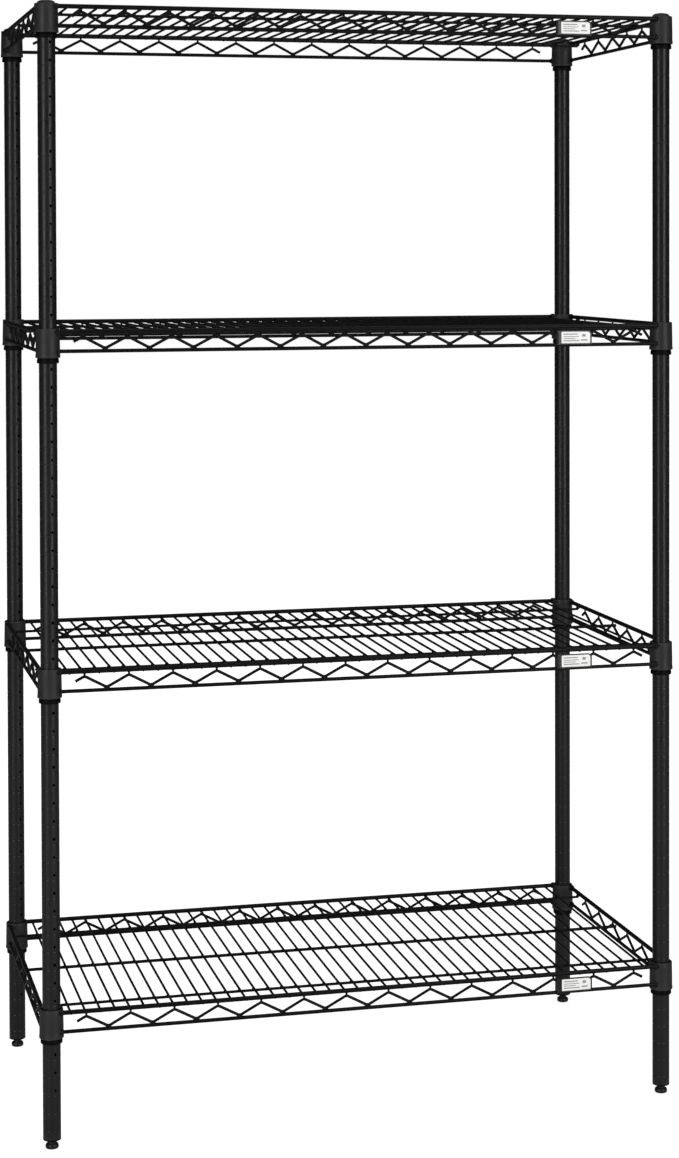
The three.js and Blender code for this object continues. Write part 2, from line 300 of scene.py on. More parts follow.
# %% The finishes
FINISH = {
    "post": finish("epoxy_on_tube", (0.0120, 0.0112, 0.0112), (0.0215, 0.0200, 0.0200), 0.30, 0.42,
                   patch_scale=11, peel_scale=700, bump=0.22, depth=0.00025, specks=0.25,
                   wear=0.35, dust=0.2),
    "wire": finish("epoxy_on_wire", (0.0026, 0.0026, 0.0026), (0.0064, 0.0062, 0.0062), 0.34, 0.50,
                   patch_scale=30, peel_scale=1100, bump=0.25, depth=0.00015, specks=0.2,
                   wear=0.3, dust=0.1, specular=0.22),
    "collar": finish("epoxy_on_collar", (0.0270, 0.0258, 0.0260), (0.0480, 0.0458, 0.0462), 0.40, 0.56,
                     patch_scale=45, peel_scale=520, bump=0.45, depth=0.0003, specks=0.3,
                     wear=0.6, dust=0.3),
    "sleeve": finish("moulded_sleeve", (0.0016, 0.0016, 0.0018), (0.0040, 0.0040, 0.0042), 0.42, 0.56,
                     patch_scale=60, peel_scale=1500, bump=0.2, depth=0.0001, specks=0.1,
                     worn=(0.02, 0.02, 0.02), wear=0.3, dust=0.05, specular=0.12),
    "cap": finish("moulded_cap", (0.0070, 0.0070, 0.0072), (0.0150, 0.0150, 0.0152), 0.36, 0.50,
                  patch_scale=70, peel_scale=1300, bump=0.25, depth=0.00012, specks=0.25,
                  worn=(0.07, 0.07, 0.07), wear=0.5, dust=0.35),
    "foot": finish("coated_foot", (0.0090, 0.0088, 0.0088), (0.0200, 0.0195, 0.0195), 0.30, 0.46,
                   patch_scale=80, peel_scale=800, bump=0.3, depth=0.0002, specks=0.3, wear=0.6, dust=0.25),
    "thread": finish("zinc_thread", (0.30, 0.30, 0.31), (0.46, 0.46, 0.45), 0.28, 0.45,
                     patch_scale=120, peel_scale=900, bump=0.2, depth=0.0001, specks=0.1,
                     worn=(0.6, 0.6, 0.58), wear=0.3, dust=0.1, metallic=0.9),
    "holder": finish("label_holder", (0.0050, 0.0050, 0.0052), (0.0110, 0.0110, 0.0112), 0.25, 0.38,
                     patch_scale=90, peel_scale=1200, bump=0.15, depth=0.0001, specks=0.15,
                     worn=(0.06, 0.06, 0.06), wear=0.5, dust=0.15, coat=0.2),
}
print("finishes:", ", ".join(FINISH))

# %% [markdown]
# The label card is the only pale thing on the rack: a strip of white plastic with a few plain
# dark bars where a maker would print. The bars could be thin meshes, but ink has no thickness,
# so they are in the material. They follow the card's own UV map, so every card has them in the
# same place. The card also glows faintly in its own colours: painted light that keeps it white.

# %% Card finish
BARS = ((0.07, 0.56, 0.74, 0.84), (0.07, 0.60, 0.55, 0.62), (0.07, 0.48, 0.38, 0.45),
        (0.07, 0.62, 0.18, 0.27), (0.72, 0.84, 0.56, 0.80), (0.68, 0.90, 0.22, 0.34))


def card_finish():
    """White card with plain bars: four rows in the left part and two short ones at the right.
    Each bar is its two ends across the card and its two ends up it. The card also glows in its
    own colours at half strength, a painted light."""
    material = bpy.data.materials.new("printed_card_painted_glow")
    material.use_nodes = True
    tree = material.node_tree
    tree.nodes.clear()
    spot = place(tree, "ShaderNodeTexCoord", -1400)
    parts = place(tree, "ShaderNodeSeparateXYZ", -1200)
    link(tree, spot.outputs["UV"], parts.inputs[0])

    def between(socket, low, high, y):
        """1 where the value lies between the two, else 0."""
        over = place(tree, "ShaderNodeMath", -1000, y, {1: low}, operation="GREATER_THAN")
        under = place(tree, "ShaderNodeMath", -1000, y - 160, {1: high}, operation="LESS_THAN")
        both = place(tree, "ShaderNodeMath", -800, y, operation="MULTIPLY")
        link(tree, socket, over.inputs[0])
        link(tree, socket, under.inputs[0])
        link(tree, over.outputs[0], both.inputs[0])
        link(tree, under.outputs[0], both.inputs[1])
        return both.outputs[0]

    def boxed(u0, u1, v0, v1, y):
        """1 inside one bar, else 0."""
        area = place(tree, "ShaderNodeMath", -600, y, operation="MULTIPLY")
        link(tree, between(parts.outputs["X"], u0, u1, y), area.inputs[0])
        link(tree, between(parts.outputs["Y"], v0, v1, y - 80), area.inputs[1])
        return area.outputs[0]

    total = None
    for i, (u0, u1, v0, v1) in enumerate(BARS):
        bar = boxed(u0, u1, v0, v1, 900 - 300 * i)
        if total is None:
            total = bar
            continue
        joined = place(tree, "ShaderNodeMath", -400, 900 - 300 * i, operation="MAXIMUM")
        link(tree, total, joined.inputs[0])
        link(tree, bar, joined.inputs[1])
        total = joined.outputs[0]
    smudge = place(tree, "ShaderNodeTexNoise", -600, -900, {"Scale": 160.0, "Detail": 4.0})
    link(tree, spot.outputs["Object"], smudge.inputs["Vector"])
    paper = place(tree, "ShaderNodeMix", -200, -500, {6: (0.86, 0.86, 0.84, 1), 7: (0.95, 0.95, 0.94, 1)},
                  data_type="RGBA")
    ink = place(tree, "ShaderNodeMix", 0, 0, {7: (0.05, 0.05, 0.055, 1)}, data_type="RGBA")
    worn_ink = place(tree, "ShaderNodeMath", -200, 0, {1: 0.7}, operation="MULTIPLY")
    link(tree, total, worn_ink.inputs[0])
    chain(tree,
          (smudge, "Fac", paper, 0), (worn_ink, 0, ink, 0), (paper, 2, ink, 6))
    rough = place(tree, "ShaderNodeMapRange", 0, -300, {"To Min": 0.25, "To Max": 0.45})
    link(tree, smudge.outputs["Fac"], rough.inputs["Value"])
    relief = place(tree, "ShaderNodeBump", 0, -600, {"Strength": 0.1, "Distance": 0.0001})
    link(tree, smudge.outputs["Fac"], relief.inputs["Height"])
    # painted light: the card glows in its own paper and ink colours at half strength, though it is no lamp
    shader = place(tree, "ShaderNodeBsdfPrincipled", 300, 0,
                   {"Specular IOR Level": 0.4, "Emission Strength": 0.5})
    output = place(tree, "ShaderNodeOutputMaterial", 600, 0)
    chain(tree,
          (ink, 2, shader, "Base Color"), (ink, 2, shader, "Emission Color"),
          (rough, "Result", shader, "Roughness"), (relief, "Normal", shader, "Normal"),
          (shader, 0, output, 0))
    return material


FINISH["card"] = card_finish()
print("card finish has", len(FINISH["card"].node_tree.nodes), "nodes")

# %% [markdown]
# ## Mesh helpers
# Most of the rack is either turned on a lathe or drawn wire. The lathe helper takes a profile
# of radius, height and wear, and goes all the way round or only part of it: a full turn makes
# posts, caps, collars and feet, and a part of a turn makes a sleeve half with closed ends.

# %% Lathe and object helpers
def turned(name, profile, material, sides=48, start_deg=0.0, sweep_deg=360.0, at=(0, 0)):
    """A solid of revolution. The profile is a closed loop of (radius, height, wear), in mm."""
    full = sweep_deg > 359.9
    count = sides if full else sides + 1
    verts, wear, faces, rings = [], [], [], []
    for i in range(count):
        t = math.radians(start_deg + sweep_deg * i / sides)
        ring = []
        for r, z, rub in profile:
            if r < 1e-6 and i > 0:
                ring.append(rings[0][len(ring)])
                continue
            verts.append((at[0] + r * math.cos(t), at[1] + r * math.sin(t), z))
            wear.append(rub)
            ring.append(len(verts) - 1)
        rings.append(ring)
    n = len(profile)
    for i in range(sides):
        here, there = rings[i], rings[(i + 1) % count]
        for k in range(n):
            a, b, c, d = here[k], there[k], there[(k + 1) % n], here[(k + 1) % n]
            loop = list(dict.fromkeys((a, b, c, d)))
            if len(loop) > 2:
                faces.append(loop)
    if not full:
        faces.append(list(reversed(rings[0])))
        faces.append(list(rings[-1]))
    mesh = bpy.data.meshes.new(name)
    mesh.from_pydata([Vector(v) * MM for v in verts], [], faces)
    mesh.attributes.new("wear", "FLOAT", "POINT").data.foreach_set("value", wear)
    mesh.materials.append(material)
    return tidy_mesh(mesh)


def tidy_mesh(mesh, sharp=38.0):
    """Faces outward, shaded smooth except across real edges."""
    work = bmesh.new()
    work.from_mesh(mesh)
    bmesh.ops.recalc_face_normals(work, faces=work.faces)
    for face in work.faces:
        face.smooth = True
    work.to_mesh(mesh)
    work.free()
    mesh.set_sharp_from_angle(angle=math.radians(sharp))
    return mesh


def joined(name, meshes, offset=(0, 0, 0)):
    """One mesh from several, each moved by the offset in mm. Materials and wear are kept."""
    materials = []
    work = bmesh.new()
    for mesh in meshes:
        first = len(work.faces)
        work.from_mesh(mesh)
        work.faces.ensure_lookup_table()
        slots = []
        for material in mesh.materials:
            if material not in materials:
                materials.append(material)
            slots.append(materials.index(material))
        for face in work.faces[first:]:
            face.material_index = slots[face.material_index] if slots else 0
    bmesh.ops.translate(work, verts=work.verts, vec=Vector(offset) * MM)
    made = bpy.data.meshes.new(name)
    work.to_mesh(made)
    work.free()
    for material in materials:
        made.materials.append(material)
    return made


def show(name, mesh, body, slot, *nodes):
    """Puts a finished mesh in the scene, riding on its body and standing for its CAD nodes."""
    piece = bpy.data.objects.new(name, mesh)
    bpy.context.scene.collection.objects.link(piece)
    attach(piece, body)
    if nodes:
        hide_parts(*nodes)
    return piece


print("helpers ready")

# %% [markdown]
# Geometry Nodes make what repeats. A tree is run on a throwaway object: its inputs are set by
# socket identifier, the evaluated result is copied to a plain mesh, and the object goes away.
# What is left has no modifier and no instances.

# %% Running a geometry tree
def run_tree(tree, values, base=None, name="made"):
    """Evaluates a geometry tree with the given inputs and returns its result as a plain mesh."""
    carrier = bpy.data.objects.new(name, base or bpy.data.meshes.new(name))
    bpy.context.scene.collection.objects.link(carrier)
    modifier = carrier.modifiers.new("tree", "NODES")
    modifier.node_group = tree
    sockets = {item.name: item.identifier for item in tree.interface.items_tree
               if item.item_type == "SOCKET" and item.in_out == "INPUT"}
    for key, value in values.items():
        modifier[sockets[key]] = value
    bpy.context.view_layer.update()
    graph = bpy.context.evaluated_depsgraph_get()
    mesh = bpy.data.meshes.new_from_object(carrier.evaluated_get(graph))
    bpy.data.objects.remove(carrier)
    mesh.name = name
    return mesh


def geometry_tree(name, inputs):
    """An empty geometry tree with named inputs and one geometry output."""
    return new_group(name, "GeometryNodeTree", inputs, [("Geometry", "NodeSocketGeometry")])


def close_tree(tree, start, end, socket, wear=0.0):
    """Ends a tree the same way each time: realise, smooth, store wear, set the material."""
    real = place(tree, "GeometryNodeRealizeInstances", 300)
    smooth = place(tree, "GeometryNodeSetShadeSmooth", 450)
    store = place(tree, "GeometryNodeStoreNamedAttribute", 600, 0, {"Name": "wear"},
                  data_type="FLOAT", domain="POINT")
    value = [s for s in store.inputs if s.name == "Value" and s.type == "VALUE"][0]
    value.default_value = wear
    paint = place(tree, "GeometryNodeSetMaterial", 750)
    link(tree, socket, real.inputs[0])
    link(tree, real.outputs[0], smooth.inputs[0])
    link(tree, smooth.outputs[0], store.inputs[0])
    link(tree, store.outputs[0], paint.inputs[0])
    link(tree, start.outputs["Finish"], paint.inputs["Material"])
    link(tree, paint.outputs[0], end.inputs[0])


INT, MATERIAL = "NodeSocketInt", "NodeSocketMaterial"

# %% [markdown]
# A straight wire is a cylinder, and a shelf has more than sixty of them in a few evenly spaced
# rows. One tree makes any such row: how many, where the first one is, the step to the next,
# and which way they lie. A little jitter keeps the rows from looking ruled.

# %% Tree: a row of straight wires
rod_row, start, end = geometry_tree("rod_row", [
    ("Count", INT, 1), ("Start", VECTOR, None), ("Step", VECTOR, None), ("Turn", VECTOR, None),
    ("Length", FLOAT, 1.0), ("Radius", FLOAT, 0.002), ("Sides", INT, 12), ("Jitter", FLOAT, 0.0),
    ("Seed", INT, 1), ("Finish", MATERIAL, None)])
row = place(rod_row, "GeometryNodeMeshLine", -600, 0, mode="OFFSET")
rod = place(rod_row, "GeometryNodeMeshCylinder", -600, -300)
lean = place(rod_row, "FunctionNodeEulerToRotation", -600, -600)
stray = place(rod_row, "FunctionNodeRandomValue", -600, 300, {0: (-1, -1, -0.3), 1: (1, 1, 0.3)},
              data_type="FLOAT_VECTOR")
shift = place(rod_row, "ShaderNodeVectorMath", -400, 300, operation="SCALE")
loose = place(rod_row, "GeometryNodeSetPosition", -250, 0)
copies = place(rod_row, "GeometryNodeInstanceOnPoints", 0, 0)
for label, socket in (("Count", row.inputs["Count"]), ("Start", row.inputs["Start Location"]),
                      ("Step", row.inputs["Offset"]), ("Sides", rod.inputs["Vertices"]),
                      ("Radius", rod.inputs["Radius"]), ("Length", rod.inputs["Depth"]),
                      ("Turn", lean.inputs[0]), ("Seed", stray.inputs["Seed"]),
                      ("Jitter", shift.inputs["Scale"])):
    link(rod_row, start.outputs[label], socket)
chain(rod_row,
      (stray, 0, shift, 0), (row, 0, loose, "Geometry"), (shift, 0, loose, "Offset"),
      (loose, 0, copies, "Points"), (rod, "Mesh", copies, "Instance"), (lean, 0, copies, "Rotation"))
close_tree(rod_row, start, end, copies.outputs[0], 0.15)

ALONG_X = (0, math.pi / 2, 0)
ALONG_Y = (math.pi / 2, 0, 0)
ALONG_Z = (0, 0, 0)


def rods(count, first, step, way, length, radius, sides=12, jitter=0.0, seed=1):
    """A row of straight wires, in mm."""
    mesh = run_tree(rod_row, {
        "Count": count, "Start": Vector(first) * MM, "Step": Vector(step) * MM, "Turn": Vector(way),
        "Length": length * MM, "Radius": radius * MM, "Sides": sides, "Jitter": jitter * MM,
        "Seed": seed, "Finish": FINISH["wire"]}, name="rods")
    mesh.set_sharp_from_angle(angle=math.radians(60))
    return mesh


three_wires = rods(3, (0, 0, 0), (10, 0, 0), ALONG_Z, 20, 2)
print("rod_row makes", len(three_wires.polygons), "faces for three wires")

# %% [markdown]
# Between the rim and the lower wire runs one wire bent into a zigzag, which makes a truss of
# the edge. Its height follows a rule: it falls away from the nearest crest at a steady slope,
# rounded a little at the crest, and is pressed flat where it is welded on the lower wire. The
# tree sets that height on the points of a straight line and gives the line its thickness.

# %% Tree: the zigzag wire
zigzag_wire, start, end = geometry_tree("zigzag_wire", [
    ("Crests", INT, 14), ("Pitch", FLOAT, 0.063), ("Crest", FLOAT, -0.0075), ("Trough", FLOAT, -0.0225),
    ("Flat", FLOAT, 0.003), ("Bend", FLOAT, 0.0012), ("Hang", FLOAT, 0.013), ("Radius", FLOAT, 0.002),
    ("Finish", MATERIAL, None)])


def maths(tree, operation, a, b=None):
    """A Math node whose inputs are sockets or plain numbers."""
    node = place(tree, "ShaderNodeMath", operation=operation)
    for i, value in enumerate((a, b)):
        if value is None:
            continue
        if isinstance(value, (int, float)):
            node.inputs[i].default_value = value
        else:
            link(tree, value, node.inputs[i])
    return node.outputs[0]


def m(operation, a, b=None):
    """The same in the zigzag's tree."""
    return maths(zigzag_wire, operation, a, b)


POINT_GAP = 0.0015  # metres between the points of the bent wire
given = start.outputs
reach = m("MULTIPLY", m("SUBTRACT", given["Crests"], 1), given["Pitch"])
half_reach = m("MULTIPLY", reach, 0.5)
half_length = m("ADD", half_reach, given["Hang"])
steps = m("ADD", m("ROUND", m("DIVIDE", m("MULTIPLY", half_length, 2), POINT_GAP)), 1)
left_end = place(zigzag_wire, "ShaderNodeCombineXYZ")
right_end = place(zigzag_wire, "ShaderNodeCombineXYZ")
link(zigzag_wire, m("MULTIPLY", half_length, -1), left_end.inputs[0])
link(zigzag_wire, half_length, right_end.inputs[0])
path = place(zigzag_wire, "GeometryNodeMeshLine", mode="END_POINTS", count_mode="TOTAL")
link(zigzag_wire, steps, path.inputs["Count"])
link(zigzag_wire, left_end.outputs[0], path.inputs["Start Location"])
link(zigzag_wire, right_end.outputs[0], [s for s in path.inputs if s.name in ("End Location", "Offset")][0])
here = place(zigzag_wire, "GeometryNodeInputPosition")
apart = place(zigzag_wire, "ShaderNodeSeparateXYZ")
link(zigzag_wire, here.outputs[0], apart.inputs[0])
along = m("DIVIDE", m("ADD", apart.outputs[0], half_reach), given["Pitch"])
nearest = m("MINIMUM", m("MAXIMUM", m("ROUND", along), 0), m("SUBTRACT", given["Crests"], 1))
away = m("MULTIPLY", m("ABSOLUTE", m("SUBTRACT", along, nearest)), given["Pitch"])
away_squared = m("MULTIPLY", away, away)
bend_squared = m("MULTIPLY", given["Bend"], given["Bend"])
rounded = m("SUBTRACT", m("SQRT", m("ADD", away_squared, bend_squared)), given["Bend"])
drop = m("SUBTRACT", given["Crest"], given["Trough"])
run = m("SUBTRACT", m("MULTIPLY", given["Pitch"], 0.5), given["Flat"])
fall = m("MULTIPLY", rounded, m("DIVIDE", drop, run))
height = m("MAXIMUM", m("SUBTRACT", given["Crest"], fall), given["Trough"])
bent = place(zigzag_wire, "ShaderNodeCombineXYZ")
link(zigzag_wire, height, bent.inputs[2])
raised = place(zigzag_wire, "GeometryNodeSetPosition")
link(zigzag_wire, path.outputs[0], raised.inputs["Geometry"])
link(zigzag_wire, bent.outputs[0], raised.inputs["Offset"])
curve = place(zigzag_wire, "GeometryNodeMeshToCurve")
section = place(zigzag_wire, "GeometryNodeCurvePrimitiveCircle", values={"Resolution": 8})
thick = place(zigzag_wire, "GeometryNodeCurveToMesh", values={"Fill Caps": True})
link(zigzag_wire, raised.outputs[0], curve.inputs[0])
link(zigzag_wire, given["Radius"], section.inputs["Radius"])
link(zigzag_wire, curve.outputs[0], thick.inputs[0])
link(zigzag_wire, section.outputs[0], thick.inputs[1])
close_tree(zigzag_wire, start, end, thick.outputs[0], 0.2)


ZIGZAG_R, CREST_Z, TROUGH_Z = 2.15, -7.5, -22.6


def zigzag(crests, pitch, way, across, shift=0.0):
    """One zigzag wire standing along X or Y, in mm."""
    mesh = run_tree(zigzag_wire, {
        "Crests": crests, "Pitch": pitch * MM, "Radius": ZIGZAG_R * MM, "Crest": CREST_Z * MM,
        "Trough": TROUGH_Z * MM, "Finish": FINISH["wire"]}, name="zigzag")
    if way == "x":
        move = Matrix.Translation(Vector((shift, across, 0)) * MM)
    else:
        move = Matrix.Translation(Vector((across, shift, 0)) * MM) @ Matrix.Rotation(math.pi / 2, 4, "Z")
    mesh.transform(move)
    mesh.set_sharp_from_angle(angle=math.radians(60))
    return mesh


print("front zigzag has", len(zigzag(14, 63, "x", 0).polygons), "faces")

# %% [markdown]
# Every crossing is resistance welded, and the frame's wires are welded to the collars. A weld
# shows as a small lump under the coat. It could be left to a bump in the material, but a lump
# changes the wire's outline. A third tree puts lumps in rows, each a squashed sphere of 48
# faces, scaled at random from a fixed seed.

# %% Tree: a row of weld lumps
weld_row, start, end = geometry_tree("weld_row", [
    ("Count", INT, 1), ("Start", VECTOR, None), ("Step", VECTOR, None), ("Size", VECTOR, None),
    ("Seed", INT, 3), ("Finish", MATERIAL, None)])
row = place(weld_row, "GeometryNodeMeshLine", -600, 0, mode="OFFSET")
lump = place(weld_row, "GeometryNodeMeshUVSphere", -600, -300, {"Segments": 8, "Rings": 6, "Radius": 1.0})
vary = place(weld_row, "FunctionNodeRandomValue", -600, 300, {0: (0.85, 0.85, 0.85), 1: (1.12, 1.12, 1.12)},
             data_type="FLOAT_VECTOR")
sized = place(weld_row, "ShaderNodeVectorMath", -400, 300, operation="MULTIPLY")
copies = place(weld_row, "GeometryNodeInstanceOnPoints", 0, 0)
chain(weld_row,
      (start, "Count", row, "Count"), (start, "Start", row, "Start Location"),
      (start, "Step", row, "Offset"), (start, "Seed", vary, "Seed"), (vary, 0, sized, 0),
      (start, "Size", sized, 1), (row, 0, copies, "Points"), (lump, "Mesh", copies, "Instance"),
      (sized, 0, copies, "Scale"))
close_tree(weld_row, start, end, copies.outputs[0], 0.5)


def welds(count, first, step, size, seed=3):
    """A row of weld lumps, in mm."""
    return run_tree(weld_row, {
        "Count": count, "Start": Vector(first) * MM, "Step": Vector(step) * MM,
        "Size": Vector(size) * MM, "Seed": seed, "Finish": FINISH["wire"]}, name="welds")


print("weld_row ready")

# %% [markdown]
# ## The posts
# A post is a one inch tube with a shallow rolled groove every inch, which the sleeves clip
# into, and one small punched mark for every groove, which tells the height. The tube is turned
# with its grooves in the profile. The marks go right through the wall, so a tree punches them:
# a column of oval cutters, each a little different, taken out of the tube by a boolean.

# %% Tree: punched marks
punched, start, end = geometry_tree("punched_marks", [
    ("Geometry", "NodeSocketGeometry", None), ("Count", INT, 62), ("First", FLOAT, 0.03),
    ("Spacing", FLOAT, 0.0254), ("Facing", FLOAT, 0.0), ("Seed", INT, 5)])
first_at = place(punched, "ShaderNodeCombineXYZ", -800, 200)
step_up = place(punched, "ShaderNodeCombineXYZ", -800, 0)
column = place(punched, "GeometryNodeMeshLine", -600, 100, mode="OFFSET")
punch = place(punched, "GeometryNodeMeshCylinder", -800, -300,
              {"Vertices": 12, "Radius": 0.0019, "Depth": 0.008})
aim = place(punched, "GeometryNodeTransform", -600, -300,
            {"Translation": (0, -0.0125, 0), "Rotation": (math.pi / 2, 0, 0)})
spin = place(punched, "ShaderNodeCombineXYZ", -600, -600)
facing = place(punched, "FunctionNodeEulerToRotation", -400, -600)
oval = place(punched, "FunctionNodeRandomValue", -600, 400, {0: (0.85, 1.0, 0.9), 1: (1.15, 1.0, 1.35)},
             data_type="FLOAT_VECTOR")
cutters = place(punched, "GeometryNodeInstanceOnPoints", -200, 0)
solid_cutters = place(punched, "GeometryNodeRealizeInstances", -50, 0)
cut = place(punched, "GeometryNodeMeshBoolean", 100, 0, operation="DIFFERENCE", solver="EXACT")
chain(punched,
      (start, "First", first_at, "Z"), (start, "Spacing", step_up, "Z"), (start, "Count", column, "Count"),
      (first_at, 0, column, "Start Location"), (step_up, 0, column, "Offset"),
      (punch, "Mesh", aim, "Geometry"), (start, "Facing", spin, "Z"), (spin, 0, facing, 0),
      (start, "Seed", oval, "Seed"), (column, 0, cutters, "Points"), (aim, 0, cutters, "Instance"),
      (facing, 0, cutters, "Rotation"), (oval, 0, cutters, "Scale"), (cutters, 0, solid_cutters, 0),
      (start, "Geometry", cut, "Mesh 1"), (solid_cutters, 0, cut, "Mesh 2"), (cut, "Mesh", end, 0))
print("punched_marks ready")

# %% [markdown]
# The rolled grooves could be cut with a boolean as well, but they go all the way round, so they
# are simply bends in the lathe profile: seven points for each inch. Each post is set with its
# row of marks turned a different way, as tubes end up when a rack is put together by hand.

# %% Posts
POST_R, POST_BORE = 12.7, 11.5
GROOVE_SPACING = 25.4
FIRST_GROOVE = 1.5 + GROOVE_SPACING
GROOVE = ((-1.6, 0.0), (-0.9, 0.0), (-0.45, 0.2), (0.0, 0.28), (0.45, 0.2), (0.9, 0.0), (1.6, 0.0))
FACING = {"fl": 16.8, "bl": 27.0, "fr": 98.0, "br": 102.0}  # degrees, turned from the front
MARK_COUNT, FIRST_MARK = 60, 84.7


def post_profile():
    """Closed loop up the outside of the tube, with its grooves, and down the inside."""
    loop = [(POST_BORE, POST_LOW, 0.2), (POST_R - 0.3, POST_LOW, 0.9), (POST_R, POST_LOW + 0.3, 0.8)]
    z = FIRST_GROOVE
    while z < POST_HIGH - 3:
        loop += [(POST_R - deep, z + up, 0.5 if abs(up) == 0.9 else 0.0) for up, deep in GROOVE]
        z += GROOVE_SPACING
    loop = [p for p in loop if p[1] < POST_HIGH - 1]
    loop += [(POST_R, POST_HIGH - 0.3, 0.8), (POST_R - 0.3, POST_HIGH, 0.9), (POST_BORE, POST_HIGH, 0.2)]
    return loop


for i, corner in enumerate(CORNERS):
    tube = turned(f"tube_{corner}", post_profile(), FINISH["post"], sides=48)
    mesh = run_tree(punched, {
        "Count": MARK_COUNT, "First": FIRST_MARK * MM, "Spacing": GROOVE_SPACING * MM,
        "Facing": math.radians(FACING[corner]), "Seed": 5 + i}, base=tube, name=f"post_{corner}")
    mesh.transform(Matrix.Translation(Vector((POST_AT[corner].x, POST_AT[corner].y, 0)) * MM))
    mesh.set_sharp_from_angle(angle=math.radians(50))
    show(f"grooved_post_{corner}", mesh, "posts", "post_black", f"post_{corner}")
print("posts:", len(mesh.polygons), "faces each")

# %% [markdown]
# ## Caps, inserts and levelling feet
# A cap is a shallow moulded dome with a plug inside the tube. At the bottom a moulded insert
# with a thin flange carries the thread, and the foot is a round pad with a waist on a 3/8 in
# bolt. The bolt shows only when the foot is screwed out, so it has a real thread: a
# cylinder whose radius rises and falls once for each turn of a helix.

# %% Caps and inserts
CAP = [(0, 1598.6, 0), (10.6, 1598.6, 0.1), (10.7, 1612.2, 0.1), (12.45, 1612.45, 0.8),
       (12.7, 1612.8, 0.9), (12.62, 1613.5, 0.7), (12.2, 1614.6, 0.3), (11.0, 1615.7, 0.1),
       (8.8, 1616.6, 0.05), (5.6, 1617.3, 0.05), (2.4, 1617.65, 0.05), (0, 1617.7, 0.05)]
INSERT = [(6.9, 12.5, 0.2), (12.5, 12.5, 0.8), (12.75, 12.8, 0.9), (12.75, 13.9, 0.8), (12.4, 14.12, 0.4),
          (11.0, 14.15, 0.1), (10.9, 32.6, 0.1), (5.4, 32.6, 0.1), (5.4, 14.8, 0.1), (6.9, 14.6, 0.2)]
for corner in CORNERS:
    at = (POST_AT[corner].x, POST_AT[corner].y)
    cap = turned(f"cap_{corner}", CAP, FINISH["cap"], sides=48, at=at)
    show(f"dome_cap_{corner}", cap, "posts", "cap_black", f"cap_{corner}")
    insert = turned(f"insert_{corner}", INSERT, FINISH["sleeve"], sides=40, at=at)
    show(f"flanged_insert_{corner}", insert, "posts", "insert_black", f"insert_{corner}")
print("cap", len(cap.polygons), "faces, insert", len(insert.polygons))

# %% [markdown]
# A levelling foot is turned too, apart from its thread. A thread could be a texture, but it is
# seen edge on when the foot is screwed out, so its outline has to be real. A ring of points is
# stacked up the bolt, and each point's radius depends on its height and its angle together.

# %% Levelling feet
PAD = [(0, 0, 0.2), (7.6, 0, 0.5), (8.7, 0.5, 0.9), (9.3, 1.7, 0.7), (9.4, 3.2, 0.3), (9.2, 4.9, 0.3),
       (8.5, 6.3, 0.5), (7.2, 7.2, 0.3), (6.0, 7.6, 0.1), (5.5, 8.4, 0.0), (5.5, 9.6, 0.0),
       (6.1, 10.5, 0.4), (6.3, 11.2, 0.7), (6.3, 13.4, 0.7), (6.0, 13.8, 0.6), (4.4, 13.8, 0.1),
       (0, 13.8, 0)]
BOLT_LOW, BOLT_HIGH, THREAD_PITCH = 13.0, 46.0, 25.4 / 16
THREAD_ROOT, THREAD_DEPTH = 4.0, 0.65


def threaded_bolt(at):
    """The bolt: a helical thread of 16 turns to the inch, closed at both ends."""
    sides, rows_per_turn = 24, 4
    rows = int((BOLT_HIGH - BOLT_LOW) / THREAD_PITCH * rows_per_turn)
    verts, faces = [], []
    for k in range(rows + 1):
        z = BOLT_LOW + (BOLT_HIGH - BOLT_LOW) * k / rows
        fade = min(1.0, (rows - k) / 6)  # the last turn and a half runs out
        for i in range(sides):
            t = 2 * math.pi * i / sides
            phase = (z / THREAD_PITCH - i / sides) % 1.0
            r = THREAD_ROOT + THREAD_DEPTH * fade * abs(2 * phase - 1)
            verts.append(Vector((at[0] + r * math.cos(t), at[1] + r * math.sin(t), z)) * MM)
    for k in range(rows):
        for i in range(sides):
            j = (i + 1) % sides
            faces.append((k * sides + i, k * sides + j, (k + 1) * sides + j, (k + 1) * sides + i))
    faces.append(list(reversed(range(sides))))
    faces.append(list(range(rows * sides, (rows + 1) * sides)))
    mesh = bpy.data.meshes.new("bolt")
    mesh.from_pydata(verts, [], faces)
    mesh.attributes.new("wear", "FLOAT", "POINT").data.foreach_set("value", [0.4] * len(verts))
    mesh.materials.append(FINISH["thread"])
    return tidy_mesh(mesh, 50)


for corner in CORNERS:
    at = (POST_AT[corner].x, POST_AT[corner].y)
    pad = turned(f"pad_{corner}", PAD, FINISH["foot"], sides=40, at=at)
    show(f"levelling_foot_{corner}", joined(f"foot_{corner}", [pad, threaded_bolt(at)]), f"foot_{corner}",
         "foot_black", f"foot_{corner}")
print("pad", len(pad.polygons), "faces")

# %% [markdown]
# ## The shelves
# A shelf is one weldment. Its edge is a truss on each side: a rim wire, a lower wire 27.2 mm
# under it and the zigzag between. Two thinner braces run across near the front and the back,
# and a third down the middle. The deck wires lie on the braces, and their ends butt against
# the rims. The four shelves are alike, so one is built round height zero and copied.

# %% Shelf sizes
RIM_R, LOWER_R, BRACE_R, EDGE_BRACE_R, DECK_R = 3.3, 2.7, 2.4, 2.1, 1.75
TRUSS_H = 27.2
OUT_Y, OUT_X = 11.5, 12.0  # how far the rims run outside the posts' centre lines
RIM_Y = HALF_Y + OUT_Y
RIM_X = HALF_X + OUT_X
BRACE_Z, DECK_Z = -6.6, -2.75
EDGE_BRACE_Y = HALF_Y - 45.5
DECK_COUNT, DECK_PITCH = 42, 21.0
FIRST_DECK = -(DECK_COUNT - 1) / 2 * DECK_PITCH
print("rims at +-", round(RIM_X, 1), round(RIM_Y, 1), "first deck wire at", FIRST_DECK)

